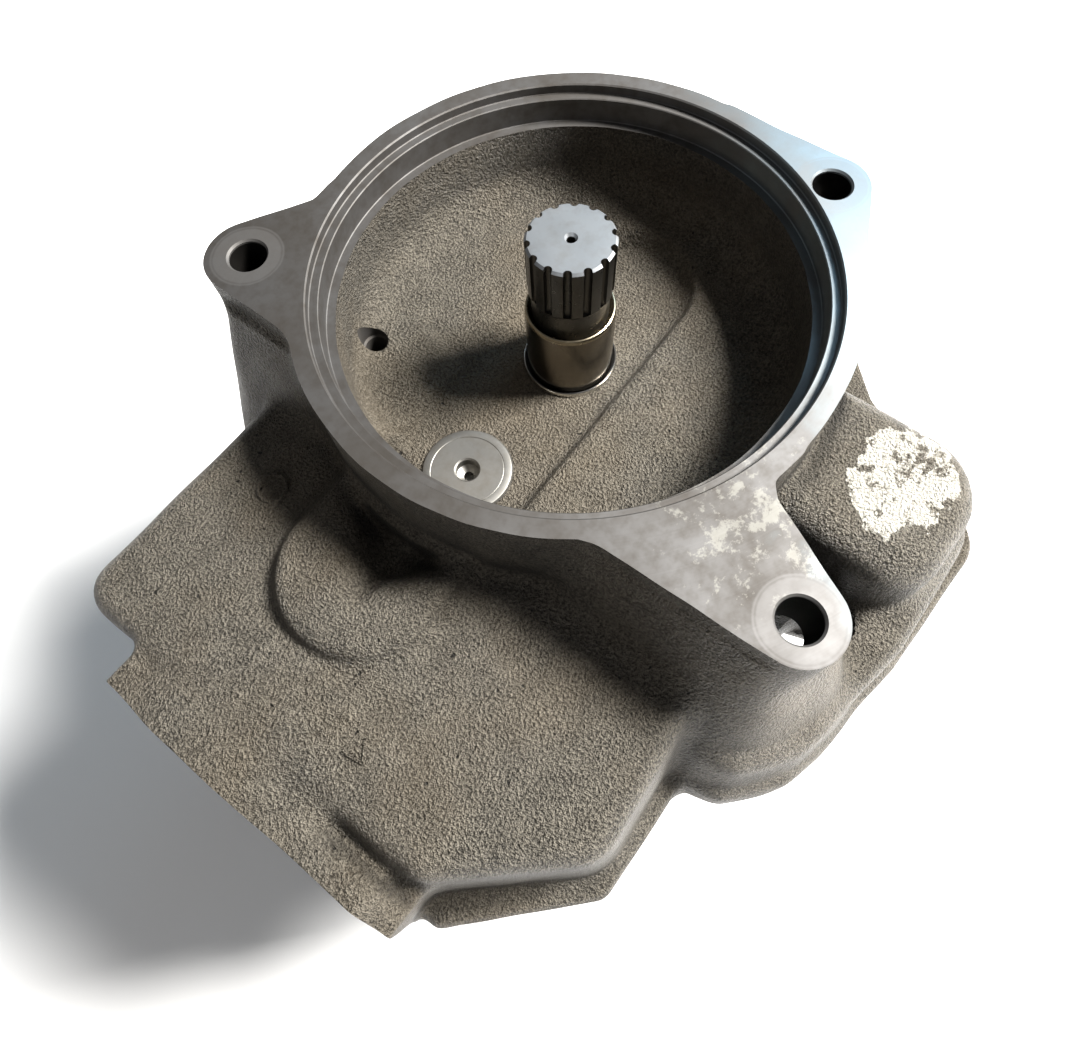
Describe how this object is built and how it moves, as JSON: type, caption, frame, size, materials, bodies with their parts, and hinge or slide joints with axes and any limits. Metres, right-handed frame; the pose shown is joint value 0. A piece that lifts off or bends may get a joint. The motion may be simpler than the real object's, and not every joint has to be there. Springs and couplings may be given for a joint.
{
  "type": "axial piston pump",
  "caption": "Twin axial piston pump standing on its port block, with a round open pilot bowl, splined drive shaft, three mounting ears and geared swash plate groups inside.",
  "frame": {"origin": "centre of the pilot bore in the plane of the mounting face", "axes": "+Z along the drive shaft, out of the splined end; the second shaft is at -X; +Y towards the ear nearest the servo plugs' side"},
  "size_m": [0.393, 0.3744, 0.392],
  "materials": {
    "cast_front": "sand cast, oiled",
    "cast_main": "sand cast",
    "cast_port": "sand cast, machined faces",
    "bearing_steel": "polished",
    "seal_rubber": "moulded",
    "ring_steel": "turned",
    "plug_steel": "turned",
    "shell_bronze": "ground",
    "valve_bronze": "lapped",
    "black_bolt": "black oxide",
    "zinc_plug": "zinc plated",
    "shaft_steel": "ground and oiled",
    "gear_steel": "ground",
    "sleeve_steel": "ground, stained",
    "guide_steel": "polished",
    "spring_steel": "phosphated",
    "block_steel": "ground",
    "swash_steel": "lapped",
    "retainer_steel": "ground",
    "servo_steel": "ground",
    "slipper_brass": "turned",
    "piston_steel": "ground"
  },
  "bodies": {
    "housing": {"front_case": "cast_front", "main_case": "cast_main", "port_block": "cast_port", "outer_races": "bearing_steel", "shaft_seal": "seal_rubber", "dust_ring": "ring_steel", "bowl_plug": "plug_steel", "cradle_shells": "shell_bronze", "valve_plates": "valve_bronze", "case_bolts": "black_bolt", "rear_bolts": "black_bolt", "servo_plugs": "zinc_plug", "case_plug": "zinc_plug"},
    "drive": {"drive_shaft": "shaft_steel", "drive_gear": "gear_steel", "drive_rollers": "bearing_steel", "wear_sleeve": "sleeve_steel", "ball_guide_1": "guide_steel", "disc_springs_1": "spring_steel", "block_1": "block_steel"},
    "driven": {"driven_shaft": "shaft_steel", "driven_gear": "gear_steel", "driven_rollers": "bearing_steel", "ball_guide_2": "guide_steel", "disc_springs_2": "spring_steel", "block_2": "block_steel"},
    "swash_1": {"swash_1": "swash_steel"},
    "retainer_1": {"retainer_1": "retainer_steel"},
    "servo_1": {"servo_piston_1": "servo_steel"},
    "slipper_1_0": {"slipper_1_0": "slipper_brass"},
    "piston_1_0": {"piston_1_0": "piston_steel"},
    "slipper_1_1": {"slipper_1_1": "slipper_brass"},
    "piston_1_1": {"piston_1_1": "piston_steel"},
    "slipper_1_2": {"slipper_1_2": "slipper_brass"},
    "piston_1_2": {"piston_1_2": "piston_steel"},
    "slipper_1_3": {"slipper_1_3": "slipper_brass"},
    "piston_1_3": {"piston_1_3": "piston_steel"},
    "slipper_1_4": {"slipper_1_4": "slipper_brass"},
    "piston_1_4": {"piston_1_4": "piston_steel"},
    "slipper_1_5": {"slipper_1_5": "slipper_brass"},
    "piston_1_5": {"piston_1_5": "piston_steel"},
    "slipper_1_6": {"slipper_1_6": "slipper_brass"},
    "piston_1_6": {"piston_1_6": "piston_steel"},
    "swash_2": {"swash_2": "swash_steel"},
    "retainer_2": {"retainer_2": "retainer_steel"},
    "servo_2": {"servo_piston_2": "servo_steel"},
    "slipper_2_0": {"slipper_2_0": "slipper_brass"},
    "piston_2_0": {"piston_2_0": "piston_steel"},
    "slipper_2_1": {"slipper_2_1": "slipper_brass"},
    "piston_2_1": {"piston_2_1": "piston_steel"},
    "slipper_2_2": {"slipper_2_2": "slipper_brass"},
    "piston_2_2": {"piston_2_2": "piston_steel"},
    "slipper_2_3": {"slipper_2_3": "slipper_brass"},
    "piston_2_3": {"piston_2_3": "piston_steel"},
    "slipper_2_4": {"slipper_2_4": "slipper_brass"},
    "piston_2_4": {"piston_2_4": "piston_steel"},
    "slipper_2_5": {"slipper_2_5": "slipper_brass"},
    "piston_2_5": {"piston_2_5": "piston_steel"},
    "slipper_2_6": {"slipper_2_6": "slipper_brass"},
    "piston_2_6": {"piston_2_6": "piston_steel"}
  },
  "joints": [
    {"name": "shaft_spin", "type": "hinge", "parent": "housing", "child": "drive", "pos_m": [0, 0, -0.1], "axis": [0, 0, 1], "continuous": true},
    {"name": "driven_spin", "type": "hinge", "parent": "housing", "child": "driven", "pos_m": [-0.155, 0, -0.1], "axis": [0, 0, 1], "continuous": true},
    {"name": "swash_tilt_1", "type": "hinge", "parent": "housing", "child": "swash_1", "pos_m": [0, 0, -0.205], "axis": [0, 1, 0], "range_deg": [0, 13]},
    {"name": "retainer_spin_1", "type": "hinge", "parent": "swash_1", "child": "retainer_1", "pos_m": [0, 0, -0.205], "axis": [0, 0, 1], "continuous": true},
    {"name": "servo_slide_1", "type": "slide", "parent": "housing", "child": "servo_1", "axis": [1, 0, 0], "range_m": [0, 0.0091]},
    {"name": "slipper_spin_1_0", "type": "hinge", "parent": "retainer_1", "child": "slipper_1_0", "pos_m": [0.046, 0, -0.205], "axis": [0, 0, 1], "continuous": true},
    {"name": "piston_ball_1_0", "type": "hinge", "parent": "slipper_1_0", "child": "piston_1_0", "pos_m": [0.046, 0, -0.205], "axis": [0, 1, 0], "range_deg": [-13.01, 0]},
    {"name": "slipper_spin_1_1", "type": "hinge", "parent": "retainer_1", "child": "slipper_1_1", "pos_m": [0.02868, 0.03596, -0.205], "axis": [0, 0, 1], "continuous": true},
    {"name": "piston_ball_1_1", "type": "hinge", "parent": "slipper_1_1", "child": "piston_1_1", "pos_m": [0.02868, 0.03596, -0.205], "axis": [0, 1, 0], "range_deg": [-13.01, 0]},
    {"name": "slipper_spin_1_2", "type": "hinge", "parent": "retainer_1", "child": "slipper_1_2", "pos_m": [-0.01024, 0.04485, -0.205], "axis": [0, 0, 1], "continuous": true},
    {"name": "piston_ball_1_2", "type": "hinge", "parent": "slipper_1_2", "child": "piston_1_2", "pos_m": [-0.01024, 0.04485, -0.205], "axis": [0, 1, 0], "range_deg": [-13.01, 0]},
    {"name": "slipper_spin_1_3", "type": "hinge", "parent": "retainer_1", "child": "slipper_1_3", "pos_m": [-0.04144, 0.01996, -0.205], "axis": [0, 0, 1], "continuous": true},
    {"name": "piston_ball_1_3", "type": "hinge", "parent": "slipper_1_3", "child": "piston_1_3", "pos_m": [-0.04144, 0.01996, -0.205], "axis": [0, 1, 0], "range_deg": [-13.01, 0]},
    {"name": "slipper_spin_1_4", "type": "hinge", "parent": "retainer_1", "child": "slipper_1_4", "pos_m": [-0.04144, -0.01996, -0.205], "axis": [0, 0, 1], "continuous": true},
    {"name": "piston_ball_1_4", "type": "hinge", "parent": "slipper_1_4", "child": "piston_1_4", "pos_m": [-0.04144, -0.01996, -0.205], "axis": [0, 1, 0], "range_deg": [-13.01, 0]},
    {"name": "slipper_spin_1_5", "type": "hinge", "parent": "retainer_1", "child": "slipper_1_5", "pos_m": [-0.01024, -0.04485, -0.205], "axis": [0, 0, 1], "continuous": true},
    {"name": "piston_ball_1_5", "type": "hinge", "parent": "slipper_1_5", "child": "piston_1_5", "pos_m": [-0.01024, -0.04485, -0.205], "axis": [0, 1, 0], "range_deg": [-13.01, 0]},
    {"name": "slipper_spin_1_6", "type": "hinge", "parent": "retainer_1", "child": "slipper_1_6", "pos_m": [0.02868, -0.03596, -0.205], "axis": [0, 0, 1], "continuous": true},
    {"name": "piston_ball_1_6", "type": "hinge", "parent": "slipper_1_6", "child": "piston_1_6", "pos_m": [0.02868, -0.03596, -0.205], "axis": [0, 1, 0], "range_deg": [-13.01, 0]},
    {"name": "swash_tilt_2", "type": "hinge", "parent": "housing", "child": "swash_2", "pos_m": [-0.155, 0, -0.205], "axis": [0, 1, 0], "range_deg": [0, 13]},
    {"name": "retainer_spin_2", "type": "hinge", "parent": "swash_2", "child": "retainer_2", "pos_m": [-0.155, 0, -0.205], "axis": [0, 0, 1], "continuous": true},
    {"name": "servo_slide_2", "type": "slide", "parent": "housing", "child": "servo_2", "axis": [1, 0, 0], "range_m": [0, 0.0091]},
    {"name": "slipper_spin_2_0", "type": "hinge", "parent": "retainer_2", "child": "slipper_2_0", "pos_m": [-0.109, 0, -0.205], "axis": [0, 0, 1], "continuous": true},
    {"name": "piston_ball_2_0", "type": "hinge", "parent": "slipper_2_0", "child": "piston_2_0", "pos_m": [-0.109, 0, -0.205], "axis": [0, 1, 0], "range_deg": [-13.01, 0]},
    {"name": "slipper_spin_2_1", "type": "hinge", "parent": "retainer_2", "child": "slipper_2_1", "pos_m": [-0.12632, 0.03596, -0.205], "axis": [0, 0, 1], "continuous": true},
    {"name": "piston_ball_2_1", "type": "hinge", "parent": "slipper_2_1", "child": "piston_2_1", "pos_m": [-0.12632, 0.03596, -0.205], "axis": [0, 1, 0], "range_deg": [-13.01, 0]},
    {"name": "slipper_spin_2_2", "type": "hinge", "parent": "retainer_2", "child": "slipper_2_2", "pos_m": [-0.16524, 0.04485, -0.205], "axis": [0, 0, 1], "continuous": true},
    {"name": "piston_ball_2_2", "type": "hinge", "parent": "slipper_2_2", "child": "piston_2_2", "pos_m": [-0.16524, 0.04485, -0.205], "axis": [0, 1, 0], "range_deg": [-13.01, 0]},
    {"name": "slipper_spin_2_3", "type": "hinge", "parent": "retainer_2", "child": "slipper_2_3", "pos_m": [-0.19644, 0.01996, -0.205], "axis": [0, 0, 1], "continuous": true},
    {"name": "piston_ball_2_3", "type": "hinge", "parent": "slipper_2_3", "child": "piston_2_3", "pos_m": [-0.19644, 0.01996, -0.205], "axis": [0, 1, 0], "range_deg": [-13.01, 0]},
    {"name": "slipper_spin_2_4", "type": "hinge", "parent": "retainer_2", "child": "slipper_2_4", "pos_m": [-0.19644, -0.01996, -0.205], "axis": [0, 0, 1], "continuous": true},
    {"name": "piston_ball_2_4", "type": "hinge", "parent": "slipper_2_4", "child": "piston_2_4", "pos_m": [-0.19644, -0.01996, -0.205], "axis": [0, 1, 0], "range_deg": [-13.01, 0]},
    {"name": "slipper_spin_2_5", "type": "hinge", "parent": "retainer_2", "child": "slipper_2_5", "pos_m": [-0.16524, -0.04485, -0.205], "axis": [0, 0, 1], "continuous": true},
    {"name": "piston_ball_2_5", "type": "hinge", "parent": "slipper_2_5", "child": "piston_2_5", "pos_m": [-0.16524, -0.04485, -0.205], "axis": [0, 1, 0], "range_deg": [-13.01, 0]},
    {"name": "slipper_spin_2_6", "type": "hinge", "parent": "retainer_2", "child": "slipper_2_6", "pos_m": [-0.12632, -0.03596, -0.205], "axis": [0, 0, 1], "continuous": true},
    {"name": "piston_ball_2_6", "type": "hinge", "parent": "slipper_2_6", "child": "piston_2_6", "pos_m": [-0.12632, -0.03596, -0.205], "axis": [0, 1, 0], "range_deg": [-13.01, 0]}
  ],
  "couplings": [
    {"joint": "driven_spin", "follows": "shaft_spin", "ratio": -1},
    {"joint": "retainer_spin_1", "follows": "shaft_spin", "ratio": 1},
    {"joint": "servo_slide_1", "follows": "swash_tilt_1", "m_per_rad": 0.04},
    {"joint": "slipper_spin_1_0", "follows": "shaft_spin", "ratio": -1},
    {"joint": "piston_ball_1_0", "follows": "swash_tilt_1", "ratio": -1},
    {"joint": "slipper_spin_1_1", "follows": "shaft_spin", "ratio": -1},
    {"joint": "piston_ball_1_1", "follows": "swash_tilt_1", "ratio": -1},
    {"joint": "slipper_spin_1_2", "follows": "shaft_spin", "ratio": -1},
    {"joint": "piston_ball_1_2", "follows": "swash_tilt_1", "ratio": -1},
    {"joint": "slipper_spin_1_3", "follows": "shaft_spin", "ratio": -1},
    {"joint": "piston_ball_1_3", "follows": "swash_tilt_1", "ratio": -1},
    {"joint": "slipper_spin_1_4", "follows": "shaft_spin", "ratio": -1},
    {"joint": "piston_ball_1_4", "follows": "swash_tilt_1", "ratio": -1},
    {"joint": "slipper_spin_1_5", "follows": "shaft_spin", "ratio": -1},
    {"joint": "piston_ball_1_5", "follows": "swash_tilt_1", "ratio": -1},
    {"joint": "slipper_spin_1_6", "follows": "shaft_spin", "ratio": -1},
    {"joint": "piston_ball_1_6", "follows": "swash_tilt_1", "ratio": -1},
    {"joint": "retainer_spin_2", "follows": "shaft_spin", "ratio": -1},
    {"joint": "servo_slide_2", "follows": "swash_tilt_2", "m_per_rad": 0.04},
    {"joint": "slipper_spin_2_0", "follows": "shaft_spin", "ratio": 1},
    {"joint": "piston_ball_2_0", "follows": "swash_tilt_2", "ratio": -1},
    {"joint": "slipper_spin_2_1", "follows": "shaft_spin", "ratio": 1},
    {"joint": "piston_ball_2_1", "follows": "swash_tilt_2", "ratio": -1},
    {"joint": "slipper_spin_2_2", "follows": "shaft_spin", "ratio": 1},
    {"joint": "piston_ball_2_2", "follows": "swash_tilt_2", "ratio": -1},
    {"joint": "slipper_spin_2_3", "follows": "shaft_spin", "ratio": 1},
    {"joint": "piston_ball_2_3", "follows": "swash_tilt_2", "ratio": -1},
    {"joint": "slipper_spin_2_4", "follows": "shaft_spin", "ratio": 1},
    {"joint": "piston_ball_2_4", "follows": "swash_tilt_2", "ratio": -1},
    {"joint": "slipper_spin_2_5", "follows": "shaft_spin", "ratio": 1},
    {"joint": "piston_ball_2_5", "follows": "swash_tilt_2", "ratio": -1},
    {"joint": "slipper_spin_2_6", "follows": "shaft_spin", "ratio": 1},
    {"joint": "piston_ball_2_6", "follows": "swash_tilt_2", "ratio": -1}
  ]
}
